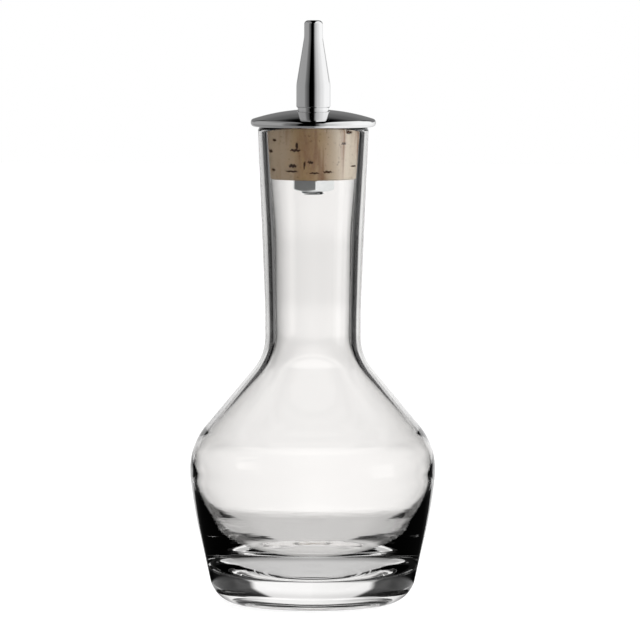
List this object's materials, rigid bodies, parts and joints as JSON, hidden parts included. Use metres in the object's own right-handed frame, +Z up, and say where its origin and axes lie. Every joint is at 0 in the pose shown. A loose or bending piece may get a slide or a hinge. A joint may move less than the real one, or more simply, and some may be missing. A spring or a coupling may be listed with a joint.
{
  "type": "bitters bottle",
  "caption": "Small long-necked glass bottle with a tapered cork that carries a domed metal cap and a slim pouring spout.",
  "frame": {"origin": "on the bottle's axis, on the surface it stands on", "axes": "+Z up along the bottle's axis to the spout; the seen side faces -Y and +X is its right"},
  "size_m": [0.063, 0.063, 0.1496],
  "materials": {
    "clear_glass": "clear, polished",
    "natural_cork": "natural cork, unfinished",
    "chrome": "polished chrome plate",
    "steel": "bright turned steel"
  },
  "bodies": {
    "bottle": {"glass_bottle": "clear_glass"},
    "stopper": {"cork_stopper": "natural_cork"},
    "dasher": {"dome_cap": "chrome", "spout_nozzle": "chrome", "threaded_stem": "steel", "lock_nut": "steel"}
  },
  "joints": [
    {"name": "stopper_lift", "type": "slide", "parent": "bottle", "child": "stopper", "axis": [0, 0, 1], "range_m": [0, 0.03]},
    {"name": "dasher_turn", "type": "hinge", "parent": "stopper", "child": "dasher", "pos_m": [0, 0, 0.1225], "axis": [0, 0, 1], "continuous": true}
  ]
}
